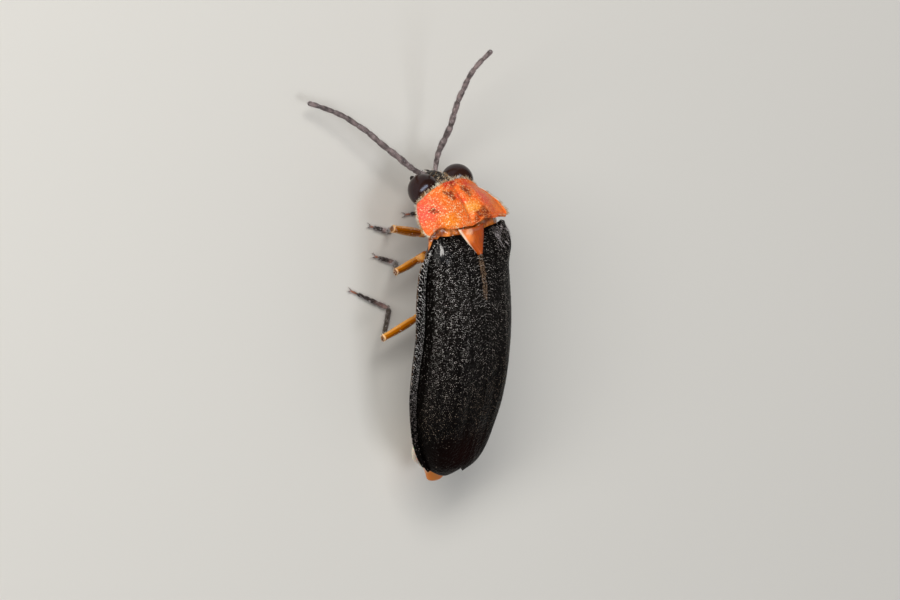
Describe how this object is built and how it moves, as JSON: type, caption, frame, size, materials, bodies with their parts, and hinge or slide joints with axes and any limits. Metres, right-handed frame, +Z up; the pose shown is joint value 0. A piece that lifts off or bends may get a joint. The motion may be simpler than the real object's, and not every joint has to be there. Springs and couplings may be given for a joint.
{
  "type": "firefly model",
  "caption": "Still life-size model of a male firefly standing on its six feet, with an orange pronotum, long black wing cases and thread-like antennae.",
  "frame": {"origin": "on the floor under the middle of the whole model's box", "axes": "+Z up from the floor, -Y the way the head points, +X towards the insect's left side"},
  "size_m": [0.007, 0.0134, 0.0034],
  "materials": {
    "pronotum": "satin, finely pitted and haired",
    "scutellum": "glossy",
    "wing_case": "satin, pitted, with short grey hairs",
    "head": "satin with golden hairs",
    "eye": "glossy",
    "antenna": "dull, closely haired",
    "leg": "glossy thigh, dark dull shin and foot",
    "body": "satin",
    "lantern": "waxy, pale"
  },
  "bodies": {
    "root": {"pronotum": "pronotum", "scutellum": "scutellum", "elytron_left": "wing_case", "elytron_right": "wing_case", "head": "head", "eye_left": "eye", "eye_right": "eye", "antenna_left": "antenna", "antenna_right": "antenna", "thorax": "body", "abdomen": "body", "light_organ": "lantern", "leg_front_left": "leg", "leg_front_right": "leg", "leg_middle_left": "leg", "leg_middle_right": "leg", "leg_hind_left": "leg", "leg_hind_right": "leg"}
  },
  "joints": []
}
